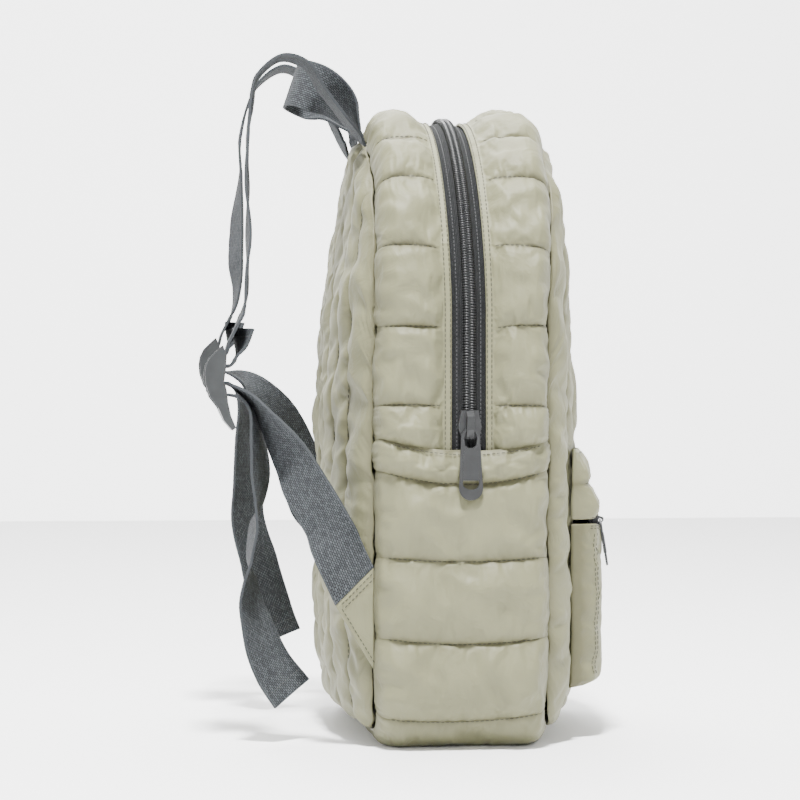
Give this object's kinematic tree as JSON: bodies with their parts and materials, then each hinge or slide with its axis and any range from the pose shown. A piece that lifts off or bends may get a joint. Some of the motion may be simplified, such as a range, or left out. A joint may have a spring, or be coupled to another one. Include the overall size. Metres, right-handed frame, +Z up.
{
  "type": "quilted backpack",
  "caption": "Small quilted puffer backpack standing upright, with an arched zip, a zipped front pocket, a webbing grab handle, and webbing shoulder straps with buckles and hanging tails.",
  "frame": {"origin": "centre of the flat underside, on the surface that the bag stands on", "axes": "+X towards the wearer's right, +Y towards the wearer's back, +Z up; the front pocket faces -Y"},
  "size_m": [0.2642, 0.247, 0.4206],
  "materials": {
    "quilted_cloth": "matt sage nylon with a soft sheen",
    "webbing": "dark grey woven webbing",
    "zipper_tape": "dark grey woven tape",
    "zipper_teeth": "dark grey coil",
    "zipper_metal": "satin gunmetal",
    "buckle_plastic": "smooth satin grey"
  },
  "bodies": {
    "root": {"base_gusset": "quilted_cloth", "top_gusset_back": "quilted_cloth", "top_gusset_front": "quilted_cloth", "zipper_tape_back": "zipper_tape", "zipper_tape_front": "zipper_tape", "zipper_coil": "zipper_teeth", "zipper_slider": "zipper_metal", "back_panel": "quilted_cloth", "front_panel": "quilted_cloth", "front_pocket": "quilted_cloth", "pocket_band": "quilted_cloth", "pocket_tape": "zipper_tape", "pocket_coil": "zipper_teeth", "pocket_slider": "zipper_metal", "strap_left": "webbing", "strap_right": "webbing", "buckle_left": "buckle_plastic", "buckle_right": "buckle_plastic", "lower_strap_left": "webbing", "lower_strap_right": "webbing", "tab_left": "quilted_cloth", "tab_right": "quilted_cloth", "grab_handle": "webbing"},
    "zipper_pull": {"zipper_pull": "zipper_metal"},
    "pocket_pull": {"pocket_pull": "zipper_metal"}
  },
  "joints": [
    {"name": "zipper_pull_swing", "type": "hinge", "parent": "root", "child": "zipper_pull", "pos_m": [-0.1238, -0.003, 0.18699], "axis": [0, 1, 0], "range_deg": [0, 150]},
    {"name": "pocket_pull_swing", "type": "hinge", "parent": "root", "child": "pocket_pull", "pos_m": [-0.05908, -0.09179, 0.131], "axis": [-0.9778, 0.2095, 0], "range_deg": [0, 95]}
  ]
}
